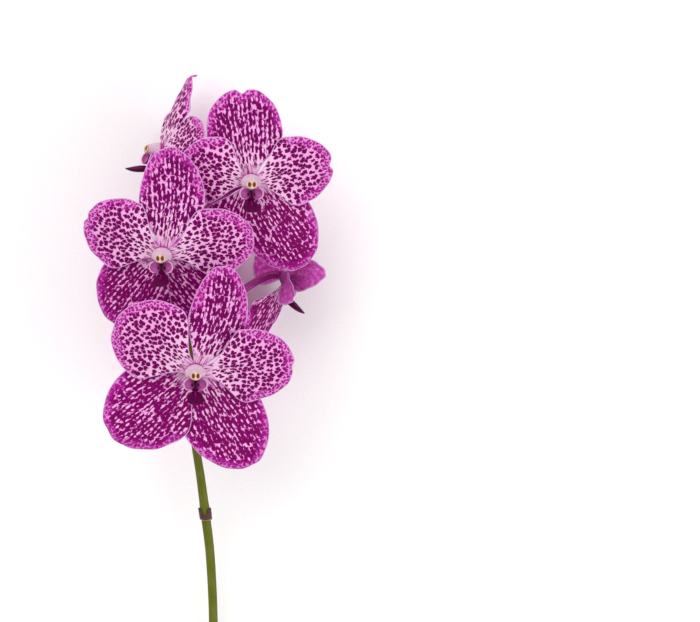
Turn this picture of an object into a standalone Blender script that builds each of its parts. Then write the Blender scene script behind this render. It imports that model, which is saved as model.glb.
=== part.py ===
"""A cut flower spike of a vanda orchid, lying on its back blooms and on the cut end of its stem.

The spike lies along Y with its tip at +Y, and the blooms in front face up, towards +Z.
Sizes are in millimetres and degrees, and MM turns them to metres as each mesh is made.
"""
import math
from collections import namedtuple

import bmesh
import bpy
import numpy as np
from mathutils import Matrix, Vector

MM = 0.001

# Clearances and walls
GAP = 0.3            # between pieces that touch in the real flower
BLADE = 0.8          # thickness of a tepal
PRESS_REACH = 3.0    # height over which a tepal's tip bends to lie along the surface
FLAT_SPOT = 0.3      # what of a piece is this near the surface lies flat on it

# Grid of one tepal: rows from claw to margin, columns across its fan of veins
TEPAL_ROWS = 5
TEPAL_COLUMNS = 8

# Receptacle, where the five tepals join: (radius, height in front of the flower's centre)
HUB_PROFILE = [(2.0, -3.4), (3.5, -1.7), (4.9, -0.2), (5.0, 1.2), (4.4, 1.6)]
HUB_SIDES = 10
HUB_FRONT = HUB_PROFILE[-1][1]
HUB_BACK = HUB_PROFILE[0][1]
TEPAL_ROOT = 1.8     # where a tepal starts, inside the receptacle
CLAW_SHARE = 0.17    # width of a claw against its blade's width
TWIST_RATE = 2.5     # a twisted tepal makes its turn in the first part of its length

# Column with the anther cap on its end: (radius, height)
COLUMN_PROFILE = [(4.3, HUB_FRONT + GAP), (4.7, 2.7), (3.7, 4.2), (2.8, 5.9), (2.3, 7.5)]
COLUMN_SIDES = 10
CAP_PROFILE = [(2.2, 7.5 + GAP), (2.4, 8.5), (1.7, 9.3)]

# Lip lobes as ellipsoids: (middle, half sizes, turn about the cross axis)
LIP_NECK = ((0.0, -6.5, 5.4), (3.2, 3.1, 2.6), 0)
LIP_SIDE_LOBE = ((4.3, -5.4, 6.2), (1.9, 2.6, 2.6), 0)
LIP_FRONT_LOBE = ((0.0, -11.2, 9.7), (4.3, 1.7, 6.4), 18)
LIP_SEGMENTS = 8
LIP_RINGS = 4

# Pedicel: radius at the stem and at the flower, ribs and how far they turn from end to end
PEDICEL_RADIUS = (1.25, 1.85)
PEDICEL_RIBS = 5
PEDICEL_RIB_DEPTH = 0.14
PEDICEL_TURN = 150
PEDICEL_STEPS = 8
PEDICEL_NECK = 9.0   # how far behind the flower its stalk bends off the flower's axis

# Stem: (x, y, z, radius) from the cut end to the tip
STEM_ROUTE = [
    (0.5, -182.4, 2.45, 2.45), (1.0, -152.0, 3.3, 2.4), (1.7, -122.0, 6.0, 2.3),
    (2.0, -92.0, 9.6, 2.25), (0.6, -61.0, 14.6, 2.3), (-1.6, -41.0, 19.2, 2.35),
    (-4.2, -20.0, 24.6, 2.2), (-7.2, 0.0, 30.0, 2.0), (-8.6, 20.0, 35.6, 1.95),
    (-9.2, 44.0, 41.6, 1.95), (-8.6, 69.0, 45.6, 1.9), (-7.2, 94.0, 47.0, 1.8),
    (-5.4, 119.0, 47.0, 1.65), (-5.2, 133.0, 46.4, 1.3),
]
STEM_SIDES = 10
STEM_STEP = 9.0      # distance between rings
CUT_SLANT = 2.2      # how far the slanting cut runs along the stem
NODE_SWELL = 0.35
NODE_LENGTH = 3.0

# Sheath bract round the node low on the stem
SHEATH_PLACE = -40.0
SHEATH_LENGTH = 6.5
SHEATH_WALL = 0.7
SHEATH_WRAP = 285    # degrees of the stem that it covers
SHEATH_COLUMNS = 10
SHEATH_ROWS = 3

Tepal = namedtuple(
    "Tepal",
    "angle length width tilt bend cup notch wave phase widest blunt layer flare bow twist",
    defaults=(6.0, 8.0, -1.5, 0.0, 0.9, 0.0, 0.50, 1.0, -0.5, 1.8, 0.0, 0.0),
)
Bloom = namedtuple("Bloom", "name centre faces up node tepals")


def sepal(angle, length, width, **shape):
    """A dorsal or lateral sepal, in the layer behind the petals."""
    return Tepal(angle, length, width, **{"tilt": 8.0, "bend": 6.0, "layer": -0.5, **shape})


def petal(angle, length, width, **shape):
    """A petal, in the layer in front of the sepals."""
    return Tepal(angle, length, width, **{"tilt": 2.0, "bend": 6.0, "layer": 0.6, "flare": 2.3, **shape})


# Angles run clockwise from the dorsal sepal, as the flower's front is seen.
# A positive tilt or bend leans a tepal back, and cup raises its sides over its midrib.
BLOOMS = [
    Bloom("bloom_1", (-5.75, 33.0, 82.0), (0.05, -0.26, 0.96), (0, 1, 0), 22.0, [
        sepal(17, 55.0, 29.0, phase=1.0, tilt=6.0, bow=3.2, flare=1.6),
        petal(85, 50.0, 38.0, phase=0.3, wave=1.2, flare=3.5),
        sepal(151, 60.5, 42.0, phase=2.0),
        sepal(-133, 56.0, 45.0, phase=0.6),
        petal(-53.5, 47.5, 42.0, phase=1.4),
    ]),
    Bloom("bloom_2", (-22.0, 91.0, 74.0), (-0.14, -0.22, 0.96), (0, 1, 0), 66.0, [
        sepal(5, 54.0, 33.0, phase=0.2, tilt=6.0, bow=2.2),
        petal(77, 47.0, 35.0, phase=1.8, flare=3.2),
        sepal(142, 48.0, 38.0, phase=0.9, tilt=12.0),
        sepal(-140, 48.0, 40.0, phase=2.4, tilt=10.0),
        petal(-63.5, 43.5, 36.0, phase=0.5, notch=1.5),
    ]),
    Bloom("bloom_3", (21.75, 127.5, 69.0), (0.08, -0.18, 0.98), (0, 1, 0), 110.0, [
        sepal(-7, 47.0, 38.0, phase=0.7, notch=2.2, blunt=0.8),
        petal(76, 42.5, 35.0, phase=2.2, notch=1.2),
        sepal(147.5, 54.5, 38.0, phase=1.1, tilt=10.0, bend=8.0),
        sepal(-165, 44.0, 34.0, phase=0.1, tilt=12.0),
        petal(-73, 37.0, 34.0, phase=1.5),
    ]),
    Bloom("bloom_4", (-24.0, 143.0, 29.0), (-0.90, 0.25, 0.35), (0.20, 0.97, 0), 132.0, [
        sepal(-7, 45.0, 27.0, phase=0.3, tilt=1.0, bend=15.0, widest=0.4, blunt=1.3, flare=0.9),
        petal(82, 42.0, 37.0, phase=1.2, tilt=6.0, bend=8.0, flare=1.6),
        sepal(150, 36.0, 26.0, phase=2.0, tilt=14.0, bend=30.0),
        sepal(-140, 36.0, 26.0, phase=0.8, tilt=14.0, bend=60.0),
        petal(-80, 36.0, 28.0, phase=0.1, tilt=12.0, bend=50.0),
    ]),
    Bloom("bloom_5", (39.0, 79.75, 18.0), (0.90, -0.40, -0.10), (0.4, 0.9, 0), 50.0, [
        sepal(5, 34.0, 24.0, phase=0.5, tilt=10.0, bend=10.0),
        petal(76, 27.0, 21.0, phase=1.3, tilt=32.0, bend=22.0),
        sepal(168, 40.0, 29.0, phase=2.3, tilt=2.0, bend=4.0, flare=1.0, twist=-38.0),
        sepal(-106, 33.0, 15.0, phase=0.9, tilt=-3.0, bend=-10.0, flare=1.0),
        petal(-72, 36.0, 18.0, phase=1.7, tilt=-4.0, bend=-36.0, twist=-35.0, blunt=1.3, flare=1.2),
    ]),
    Bloom("bloom_6", (-8.75, 74.75, 19.0), (0.05, -0.02, -1.0), (0, 1, 0), 40.0, [
        sepal(0, 34.0, 28.0, phase=0.4, tilt=-6.0, bend=-52.0),
        petal(-72, 29.0, 25.0, phase=1.0, tilt=-4.0, bend=-60.0),
        sepal(-142, 30.0, 24.0, phase=1.6, tilt=-6.0, bend=-60.0),
        sepal(150, 36.0, 26.0, phase=2.2, tilt=-6.0, bend=-50.0),
        petal(70, 44.0, 34.0, phase=0.2, tilt=-5.0, bend=-42.0),
    ]),
]

Finish = namedtuple("Finish", "colour roughness")
FINISHES = {
    "stem_green": Finish((0.13, 0.19, 0.02), 0.45),
    "bract_brown": Finish((0.16, 0.08, 0.04), 0.6),
    "tepal_magenta": Finish((0.42, 0.02, 0.24), 0.5),
    "column_cream": Finish((0.80, 0.58, 0.62), 0.4),
    "cap_yellow": Finish((0.80, 0.62, 0.35), 0.4),
    "lip_purple": Finish((0.12, 0.002, 0.06), 0.35),
    "pedicel_mauve": Finish((0.25, 0.03, 0.16), 0.45),
}


def clear_scene():
    """Removes whatever the opened file holds."""
    for thing in list(bpy.data.objects):
        bpy.data.objects.remove(thing, do_unlink=True)


def material(name):
    """The plain finish of one kind of piece."""
    found = bpy.data.materials.get(name)
    if found:
        return found
    made = bpy.data.materials.new(name)
    made.use_nodes = True
    shader = made.node_tree.nodes["Principled BSDF"]
    shader.inputs["Base Color"].default_value = (*FINISHES[name].colour, 1.0)
    shader.inputs["Roughness"].default_value = FINISHES[name].roughness
    shader.inputs["Metallic"].default_value = 0.0
    return made


def new_object(name, points, faces, finish):
    """One closed piece from points in millimetres, with its faces turned outwards."""
    points = np.array(points, float)
    points[:, 2] = np.where(points[:, 2] < FLAT_SPOT, 0.0, points[:, 2])
    mesh = bpy.data.meshes.new(name)
    mesh.from_pydata((points * MM).tolist(), [], faces)
    work = bmesh.new()
    work.from_mesh(mesh)
    bmesh.ops.recalc_face_normals(work, faces=work.faces)
    work.to_mesh(mesh)
    work.free()
    mesh.shade_smooth()
    mesh.set_sharp_from_angle(angle=math.radians(50))
    mesh.materials.append(material(finish))
    piece = bpy.data.objects.new(name, mesh)
    bpy.context.scene.collection.objects.link(piece)
    return piece


def join_all(name, pieces):
    """Joins pieces that run into one another by one Boolean union, and removes the parts."""
    body = pieces[0]
    others = bpy.data.collections.new(name + "_parts")
    bpy.context.scene.collection.children.link(others)
    for piece in pieces[1:]:
        bpy.context.scene.collection.objects.unlink(piece)
        others.objects.link(piece)
    union = body.modifiers.new("join", "BOOLEAN")
    union.operation = "UNION"
    union.operand_type = "COLLECTION"
    union.collection = others
    union.solver = "MANIFOLD"
    bpy.context.view_layer.update()
    joined = bpy.data.meshes.new_from_object(body.evaluated_get(bpy.context.evaluated_depsgraph_get()))
    body.modifiers.clear()
    body.data = joined
    body.name = name
    joined.name = name
    for piece in pieces[1:]:
        bpy.data.objects.remove(piece, do_unlink=True)
    bpy.data.collections.remove(others)
    return body


def grid_faces(rows, columns, start=0, flipped=False):
    """Triangles of a grid of points, row by row, all cut along the same diagonal."""
    faces = []
    for i in range(rows):
        for j in range(columns):
            a = start + i * (columns + 1) + j
            b = a + 1
            c = a + columns + 2
            d = a + columns + 1
            pair = [(a, b, c), (a, c, d)]
            faces += [tuple(reversed(f)) for f in pair] if flipped else pair
    return faces


def slab(name, sheet, wall, finish):
    """A thin closed blade: the sheet's points moved half a wall out to each side."""
    rows = sheet.shape[0] - 1
    columns = sheet.shape[1] - 1
    normal = np.cross(np.gradient(sheet, axis=1), np.gradient(sheet, axis=0))
    normal /= np.linalg.norm(normal, axis=2, keepdims=True)
    count = (rows + 1) * (columns + 1)
    points = np.concatenate([
        (sheet + normal * wall / 2).reshape(-1, 3),
        (sheet - normal * wall / 2).reshape(-1, 3),
    ])
    faces = grid_faces(rows, columns) + grid_faces(rows, columns, count, flipped=True)
    edge = list(range(columns + 1))
    edge += [i * (columns + 1) + columns for i in range(1, rows + 1)]
    edge += [rows * (columns + 1) + j for j in range(columns - 1, -1, -1)]
    edge += [i * (columns + 1) for i in range(rows - 1, 0, -1)]
    for a, b in zip(edge, edge[1:] + edge[:1]):
        faces += [(a, a + count, b + count), (a, b + count, b)]
    return new_object(name, points, faces, finish)


def unit(vector):
    return np.array(vector, float) / np.linalg.norm(vector)


def bloom_axes(bloom):
    """Across, up and forward directions of a flower, as rows."""
    forward = unit(bloom.faces)
    up = np.array(bloom.up, float)
    up = unit(up - forward * up.dot(forward))
    return np.array([np.cross(up, forward), up, forward])


def place(bloom, points):
    """Points of the flower's own frame, in the spike's frame."""
    return np.array(bloom.centre) + np.asarray(points, float) @ bloom_axes(bloom)


def lie_on_surface(points, lowest):
    """Bends what would pass below the surface up, so that it lies along it."""
    height = (points[..., 2] - lowest) / PRESS_REACH
    eased = np.log1p(np.exp(np.minimum(height, 4) * 2.0)) / 2.0
    pressed = points.copy()
    pressed[..., 2] = lowest + PRESS_REACH * np.where(height > 4, height, eased)
    return pressed


def tepal_sheet(bloom, tepal, rows, columns):
    """Middle surface of a tepal: a fan of veins that leave the claw and end at the margin."""
    u = np.linspace(0, 1, rows + 1)[:, None]
    theta = np.radians(np.linspace(-90, 90, columns + 1))[None, :]
    v = np.sin(theta)
    spread = CLAW_SHARE + (1 - CLAW_SHARE) * np.sin(u * math.pi / 2) ** tepal.flare
    rise = tepal.widest + (1 - tepal.widest) * np.abs(np.cos(theta)) ** tepal.blunt
    reach = tepal.length * rise - tepal.notch * np.exp(-(v / 0.16) ** 2)
    along = TEPAL_ROOT + u * (reach - TEPAL_ROOT)
    share = along / tepal.length
    across = v * spread * tepal.width / 2
    tilt = math.radians(tepal.tilt)
    bend = math.radians(tepal.bend) or 1e-4
    lean = tilt + bend * share
    out = tepal.length * (np.sin(lean) - math.sin(tilt)) / bend
    drop = tepal.length * (np.cos(lean) - math.cos(tilt)) / bend
    side = np.abs(v) ** 3 * u
    rim = u ** 4
    ripple = np.sin(3.0 * theta + tepal.phase) * rim + np.sin(7.0 * share + tepal.phase) * side
    lift = tepal.cup * v ** 2 * spread ** 2 + tepal.wave * ripple
    turn = math.radians(tepal.twist) * np.minimum(1, TWIST_RATE * share)
    across, lift = across * np.cos(turn) - lift * np.sin(turn), across * np.sin(turn) + lift * np.cos(turn)
    across = across + tepal.bow * np.sin(math.pi * share)
    out = out + np.sin(lean) * lift
    drop = drop + np.cos(lean) * lift + tepal.layer
    angle = math.radians(tepal.angle)
    x = out * math.sin(angle) + across * math.cos(angle)
    y = out * math.cos(angle) - across * math.sin(angle)
    sheet = place(bloom, np.stack([x, y, drop + 0 * x], axis=2))
    return lie_on_surface(sheet, BLADE / 2)


def turned(bloom, name, profile, sides, finish):
    """A round piece on the flower's axis, from its (radius, height) profile, with flat ends."""
    points = []
    for radius, height in profile:
        for k in range(sides):
            angle = 2 * math.pi * k / sides
            points.append((radius * math.cos(angle), radius * math.sin(angle), height))
    faces = ring_faces(len(profile), sides)
    return new_object(name, place(bloom, points), faces, finish)


def ring_faces(rings, sides):
    """Faces of a tube of rings, with its two ends filled."""
    faces = [tuple(reversed(range(sides))), tuple((rings - 1) * sides + k for k in range(sides))]
    for i in range(rings - 1):
        for k in range(sides):
            a = i * sides + k
            b = i * sides + (k + 1) % sides
            faces += [(a, b, b + sides), (a, b + sides, a + sides)]
    return faces


def lobe(bloom, name, middle, half_sizes, pitch):
    """One fleshy lobe of the lip, an ellipsoid turned about the cross axis."""
    work = bmesh.new()
    bmesh.ops.create_uvsphere(work, u_segments=LIP_SEGMENTS, v_segments=LIP_RINGS, radius=1.0)
    shape = Matrix.Rotation(math.radians(pitch), 3, "X") @ Matrix.Diagonal(half_sizes)
    points = [shape @ v.co + Vector(middle) for v in work.verts]
    faces = [tuple(v.index for v in f.verts) for f in work.faces]
    work.free()
    return new_object(name, place(bloom, points), faces, "lip_purple")


def make_lip(bloom):
    """Neck, two side lobes beside the column and a front lobe that points forwards and down."""
    lobes = [lobe(bloom, "neck", *LIP_NECK), lobe(bloom, "front", *LIP_FRONT_LOBE)]
    (x, y, z), half_sizes, pitch = LIP_SIDE_LOBE
    for side in (-1, 1):
        lobes.append(lobe(bloom, "side", (side * x, y, z), half_sizes, pitch))
    return join_all(bloom.name + "_lip", lobes)


def make_tepals(bloom):
    """The five tepals of a flower, grown from its receptacle."""
    blades = [turned(bloom, "hub", HUB_PROFILE, HUB_SIDES, "tepal_magenta")]
    for tepal in bloom.tepals:
        sheet = tepal_sheet(bloom, tepal, TEPAL_ROWS, TEPAL_COLUMNS)
        blades.append(slab("blade", sheet, BLADE, "tepal_magenta"))
    return join_all(bloom.name + "_tepals", blades)


def smooth_route(points, step):
    """Points along a Catmull-Rom curve through the given ones, about one step apart."""
    points = np.array(points, float)
    padded = np.concatenate([[2 * points[0] - points[1]], points, [2 * points[-1] - points[-2]]])
    route = []
    for a, b, c, d in zip(padded, padded[1:], padded[2:], padded[3:]):
        pieces = max(1, round(float(np.linalg.norm(c[:3] - b[:3])) / step))
        for k in range(pieces):
            t = k / pieces
            route.append(0.5 * (2 * b + (c - a) * t + (2 * a - 5 * b + 4 * c - d) * t ** 2
                                + (3 * b - a - 3 * c + d) * t ** 3))
    return np.array(route + [points[-1]])


def tube_points(route, radii, sides, ends=None, ribs=0, depth=0.0, turn=0.0):
    """Rings of points along a route, square to it, with ribs that may wind round it."""
    tangents = np.gradient(route, axis=0)
    if ends is not None:
        tangents[0], tangents[-1] = ends
    side = unit(np.cross(tangents[0], (0.3, 0.2, 1.0)))
    points = []
    for i, (centre, tangent, radius) in enumerate(zip(route, tangents, radii)):
        tangent = unit(tangent)
        side = unit(side - tangent * side.dot(tangent))
        other = np.cross(tangent, side)
        start = math.radians(turn) * i / (len(route) - 1)
        for k in range(sides):
            angle = 2 * math.pi * k / sides
            r = radius * (1 + depth * math.cos(ribs * angle))
            points.append(centre + r * (side * math.cos(angle + start) + other * math.sin(angle + start)))
    return np.array(points)


def stem_at(y):
    """Centre and radius of the stem at a place along the spike."""
    route = np.array(STEM_ROUTE)
    return np.array([np.interp(y, route[:, 1], route[:, k]) for k in range(4)])


def make_stem():
    """The green stalk, swollen at its nodes, with a slanting cut at its lower end."""
    route = smooth_route(STEM_ROUTE, STEM_STEP)
    nodes = [bloom.node for bloom in BLOOMS] + [SHEATH_PLACE + 2]
    for place_y in nodes:
        extra = stem_at(place_y)
        if np.abs(route[:, 1] - place_y).min() > 1.5:
            route = np.insert(route, np.searchsorted(route[:, 1], place_y), extra, axis=0)
    radii = route[:, 3].copy()
    for place_y in nodes:
        radii += NODE_SWELL * np.exp(-((route[:, 1] - place_y) / NODE_LENGTH) ** 2)
    points = tube_points(route[:, :3], radii, STEM_SIDES)
    points[:STEM_SIDES, 1] += CUT_SLANT * (points[:STEM_SIDES, 2] / (2 * route[0, 3]) - 0.5)
    return new_object("stem", points, ring_faces(len(route), STEM_SIDES), "stem_green")


def make_sheath():
    """A papery scale wrapped round a node, open at the back and notched in front."""
    rows = np.linspace(0, 1, SHEATH_ROWS + 1)[:, None]
    wrap = np.radians(np.linspace(-SHEATH_WRAP / 2, SHEATH_WRAP / 2, SHEATH_COLUMNS + 1))[None, :]
    notch = 0.35 * np.exp(-(wrap / 0.35) ** 2) + 0.25 * (np.abs(wrap) / 2.5) ** 2
    along = SHEATH_PLACE + SHEATH_LENGTH * rows * (1 - notch) - SHEATH_LENGTH * 0.3
    middle = stem_at(SHEATH_PLACE)
    slope = (stem_at(SHEATH_PLACE + 10) - stem_at(SHEATH_PLACE - 10)) / 20
    radius = middle[3] + NODE_SWELL + GAP + SHEATH_WALL / 2 + 0.1 + 0.25 * rows
    x = middle[0] + slope[0] * (along - SHEATH_PLACE) + radius * np.sin(wrap)
    z = middle[2] + slope[2] * (along - SHEATH_PLACE) + radius * np.cos(wrap)
    return slab("sheath_bract", np.stack([x, along - slope[2] * (z - middle[2]), z], axis=2), SHEATH_WALL,
                "bract_brown")


def pedicel_route(bloom):
    """A curve from the stem's side to the back of the flower, and its directions at both ends."""
    forward = bloom_axes(bloom)[2]
    end = place(bloom, [(0, 0, HUB_BACK - GAP)])[0]
    root = stem_at(bloom.node)
    grain = unit((stem_at(bloom.node + 5) - stem_at(bloom.node - 5))[:3])
    away = end - root[:3]
    away = unit(away - grain * away.dot(grain))
    start = root[:3] + away * (root[3] + NODE_SWELL + GAP)
    first = start + away * PEDICEL_NECK * 0.5 + grain * PEDICEL_NECK
    last = end - forward * PEDICEL_NECK
    t = np.linspace(0, 1, PEDICEL_STEPS + 1)[:, None]
    route = (1 - t) ** 3 * start + 3 * t * (1 - t) ** 2 * first + 3 * t ** 2 * (1 - t) * last + t ** 3 * end
    return route, (away, forward)


def make_pedicel(bloom):
    """The ribbed flower stalk, thicker at the ovary, its ribs winding half round."""
    route, ends = pedicel_route(bloom)
    share = np.linspace(0, 1, len(route))
    radii = PEDICEL_RADIUS[0] + (PEDICEL_RADIUS[1] - PEDICEL_RADIUS[0]) * np.sin(share * math.pi / 2)
    sides = 2 * PEDICEL_RIBS
    points = tube_points(route, radii, sides, ends, PEDICEL_RIBS, PEDICEL_RIB_DEPTH, PEDICEL_TURN)
    return new_object(bloom.name + "_pedicel", points, ring_faces(len(route), sides), "pedicel_mauve")


def make_bloom(bloom):
    make_pedicel(bloom)
    make_tepals(bloom)
    turned(bloom, bloom.name + "_column", COLUMN_PROFILE, COLUMN_SIDES, "column_cream")
    turned(bloom, bloom.name + "_anther_cap", CAP_PROFILE, COLUMN_SIDES, "cap_yellow")
    make_lip(bloom)


def build():
    clear_scene()
    make_stem()
    make_sheath()
    for bloom in BLOOMS:
        make_bloom(bloom)


build()
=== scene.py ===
"""The looks of a cut flower spike of a vanda orchid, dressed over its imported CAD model.

The spike lies along Y with its tip at +Y, and its front blooms face up. Sizes are in millimetres
and degrees as in the CAD model, and MM turns them to metres as each piece is made.
"""
import math
from collections import namedtuple

import bpy
import numpy as np
from mathutils import Matrix, Vector


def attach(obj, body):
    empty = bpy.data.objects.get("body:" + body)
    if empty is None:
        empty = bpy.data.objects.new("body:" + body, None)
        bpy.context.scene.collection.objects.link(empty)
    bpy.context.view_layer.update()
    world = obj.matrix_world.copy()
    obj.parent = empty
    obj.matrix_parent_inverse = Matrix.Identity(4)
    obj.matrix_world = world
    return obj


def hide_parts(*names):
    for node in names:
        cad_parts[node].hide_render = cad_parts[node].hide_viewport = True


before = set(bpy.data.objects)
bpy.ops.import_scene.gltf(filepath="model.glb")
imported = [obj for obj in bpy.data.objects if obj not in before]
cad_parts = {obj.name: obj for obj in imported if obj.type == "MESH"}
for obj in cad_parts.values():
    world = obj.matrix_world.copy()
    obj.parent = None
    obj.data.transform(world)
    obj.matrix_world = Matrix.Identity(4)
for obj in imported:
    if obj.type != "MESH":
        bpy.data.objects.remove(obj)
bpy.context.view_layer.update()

MM = 0.001

# Tepals, as in the CAD model
GAP = 0.3
BLADE = 0.8
PRESS_REACH = 3.0
PRESS_CRISPNESS = 2.0
PRESS_FREE = 4         # reaches above the surface where a blade no longer bends
TEPAL_ROOT = 1.8
CLAW_SHARE = 0.17
TWIST_RATE = 2.5
HUB_BACK = -3.4

# Finer forms of a tepal that the CAD model leaves out
BLADE_COLUMNS = 64
BLADE_ROWS = 40
BLADE_WALL = 0.7       # in the middle of a blade
MARGIN_SHARE = 0.35    # of that wall at the margin
MARGIN_TAPER = 7.0     # how far in from the margin the wall grows
MIDRIB_GROOVE = 0.45
GROOVE_WIDTH = 0.07    # against half the blade's width, as for the notch
NOTCH_WIDTH = 0.11
VEIN_RELIEF = 0.07
RIPPLES = (3.0, 7.0)   # round the tip and along the sides
MARGIN_FRILL = 0.35
FRILL_WAVES = 13
SCALLOP = 0.22
SCALLOPS = ((8, 5, 1.0), (13, 2, 0.6))    # waves round the tip, their turn by the blade's phase, and share
HOOK_START = 0.93      # share of its length where a hooked tip turns back
TIP_SAMPLES = 121      # points of the margin that distances are measured to
SIDE_SAMPLES = 60

# Spots of a tepal: rows of cells along the veins, in their real size
PETAL_CELL = (2.1, 2.3)    # across and along the veins
SEPAL_CELL = (2.4, 3.0)
BASE_STRETCH = 0.55    # how much of their rate along the veins the cells lose at the claw
BASE_FADE = 0.3        # share of the blade's length over which they do
GATHER = 0.68          # how far the rows keep apart where the blade narrows: 0 as rays, 1 side by side

# Pattern of the spots, with its rates and sizes against one cell
WOBBLE_RATE = 1.7
WOBBLE = 0.7
PATCH_RATE = 0.3       # patches of about three cells, or 7 mm
CELL_RATES = (1.0, 1.6)    # in the blade's middle, and near its margin
CELL_STRAY = 0.95
CELL_CHANGE = 0.14     # from one cell's size to the next one's
WALL_WEIGHT = 0.45     # how much a spot follows its cell's walls, and how much its round core
CORE_WEIGHT = 0.75
NET_BLUR = (0.13, 0.06)
SEED_SHIFT = (7.3, 3.1)    # how far on in the pattern each blade starts
ROW_SHIFT = 5.0
ROW_STRAY = 0.36
ROW_WOBBLE = 0.45      # share of the cells' wobble
EDGE_SHRINK = 0.12     # how much smaller the specks are near the margin
SPECK_SHAPE = (1.35, 0.66, 1.0)   # narrower across the veins than along them
SPECK_BLUR = 0.11
FRINGE_RATES = (3.6, 0.6, 1.0)
CLAW_STREAK_RATES = (1.7, 0.3, 1.0)
VEIN_RATES = (2.4, 0.18, 1.0)     # lines about 1 mm apart: the real veinlets are finer, too fine to show

# Places where the pattern changes, in millimetres from the margin
FINE_FROM = (9.5, 5.0)
BRIGHT_FROM = (10.0, 4.0)
FRINGE_FROM = (2.8, 0.8)
EDGE_DRIFT = 7.0
EDGE_RETREAT = 8.0     # how much nearer the margin it changes beside the claw

# Relief and tones of the skins
VEIN_DEPTH = 0.6 * MM
RIB_DEPTH = 0.3 * MM
GRAIN_DEPTH = 0.2 * MM
GRAIN_RATE = 4000.0        # a metre, so 0.25 mm: real skin cells are 0.05 mm, too fine to show
DRIFT_RATE = 700.0         # a metre, so tones that drift within 1.4 mm
STALK_DRIFT_RATE = 0.09    # a millimetre, so tones that drift within 11 mm
FIBRE_RATE = 900.0         # a metre, so 1.1 mm: real paper fibres are finer, too fine to show

Tepal = namedtuple(
    "Tepal",
    "angle length width tilt bend cup notch wave phase widest blunt layer flare bow twist notch_at hook "
    "look",
    defaults=(6.0, 8.0, -1.5, 0.0, 0.9, 0.0, 0.50, 1.0, -0.5, 1.8, 0.0, 0.0, 0.0, 0.0, ""),
)
Bloom = namedtuple("Bloom", "name centre faces up node tepals")


def sepal(angle, length, width, **shape):
    """A dorsal or lateral sepal, in the layer behind the petals."""
    return Tepal(angle, length, width, **{"tilt": 8.0, "bend": 6.0, "layer": -0.5, **shape})


def petal(angle, length, width, **shape):
    """A petal, in the layer in front of the sepals."""
    return Tepal(angle, length, width, **{"tilt": 2.0, "bend": 6.0, "layer": 0.6, "flare": 2.3, **shape})


# The same blooms as in the CAD model, with angles clockwise from the dorsal sepal
BLOOMS = [
    Bloom("bloom_1", (-5.75, 33.0, 82.0), (0.05, -0.26, 0.96), (0, 1, 0), 22.0, [
        sepal(17, 55.0, 29.0, phase=1.0, tilt=6.0, bow=3.2, flare=1.6),
        petal(85, 50.0, 38.0, phase=0.3, wave=1.2, flare=3.5, notch=1.6, notch_at=0.12),
        sepal(151, 60.5, 42.0, phase=2.0),
        sepal(-133, 56.0, 45.0, phase=0.6),
        petal(-53.5, 47.5, 42.0, phase=1.4),
    ]),
    Bloom("bloom_2", (-22.0, 91.0, 74.0), (-0.14, -0.22, 0.96), (0, 1, 0), 66.0, [
        sepal(5, 54.0, 33.0, phase=0.2, tilt=6.0, bow=2.2),
        petal(77, 47.0, 35.0, phase=1.8, flare=3.2),
        sepal(142, 48.0, 38.0, phase=0.9, tilt=12.0),
        sepal(-140, 48.0, 40.0, phase=2.4, tilt=10.0),
        petal(-63.5, 43.5, 36.0, phase=0.5, notch=1.5),
    ]),
    Bloom("bloom_3", (21.75, 127.5, 69.0), (0.08, -0.18, 0.98), (0, 1, 0), 110.0, [
        sepal(-7, 47.0, 38.0, phase=0.7, notch=2.6, blunt=0.8, notch_at=0.05),
        petal(76, 42.5, 35.0, phase=2.2, notch=1.8, notch_at=0.1),
        sepal(147.5, 54.5, 38.0, phase=1.1, tilt=10.0, bend=8.0),
        sepal(-165, 44.0, 34.0, phase=0.1, tilt=12.0),
        petal(-73, 37.0, 34.0, phase=1.5),
    ]),
    Bloom("bloom_4", (-24.0, 143.0, 29.0), (-0.90, 0.25, 0.35), (0.20, 0.97, 0), 132.0, [
        sepal(-7, 45.0, 27.0, phase=0.3, tilt=1.0, bend=15.0, widest=0.4, blunt=1.3, flare=0.9, hook=3.0,
              look="netted"),
        petal(82, 42.0, 37.0, phase=1.2, tilt=6.0, bend=8.0, flare=1.6),
        sepal(150, 36.0, 26.0, phase=2.0, tilt=14.0, bend=30.0),
        sepal(-140, 36.0, 26.0, phase=0.8, tilt=14.0, bend=60.0),
        petal(-80, 36.0, 28.0, phase=0.1, tilt=12.0, bend=50.0),
    ]),
    Bloom("bloom_5", (39.0, 79.75, 18.0), (0.90, -0.40, -0.10), (0.4, 0.9, 0), 50.0, [
        sepal(5, 34.0, 24.0, phase=0.5, tilt=10.0, bend=10.0),
        # Its back takes the lighter copy of the back's tones, painted light for a back that lies in shade
        petal(76, 27.0, 21.0, phase=1.3, tilt=32.0, bend=22.0, look="lit"),
        sepal(168, 40.0, 29.0, phase=2.3, tilt=2.0, bend=4.0, flare=1.0, twist=-38.0),
        sepal(-106, 33.0, 15.0, phase=0.9, tilt=-3.0, bend=-10.0, flare=1.0),
        petal(-72, 36.0, 18.0, phase=1.7, tilt=-4.0, bend=-36.0, twist=-35.0, blunt=1.3, flare=1.2),
    ]),
    Bloom("bloom_6", (-8.75, 74.75, 19.0), (0.05, -0.02, -1.0), (0, 1, 0), 40.0, [
        sepal(0, 34.0, 28.0, phase=0.4, tilt=-6.0, bend=-52.0),
        petal(-72, 29.0, 25.0, phase=1.0, tilt=-4.0, bend=-60.0),
        sepal(-142, 30.0, 24.0, phase=1.6, tilt=-6.0, bend=-60.0),
        sepal(150, 36.0, 26.0, phase=2.2, tilt=-6.0, bend=-50.0),
        petal(70, 44.0, 34.0, phase=0.2, tilt=-5.0, bend=-42.0),
    ]),
]

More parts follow.
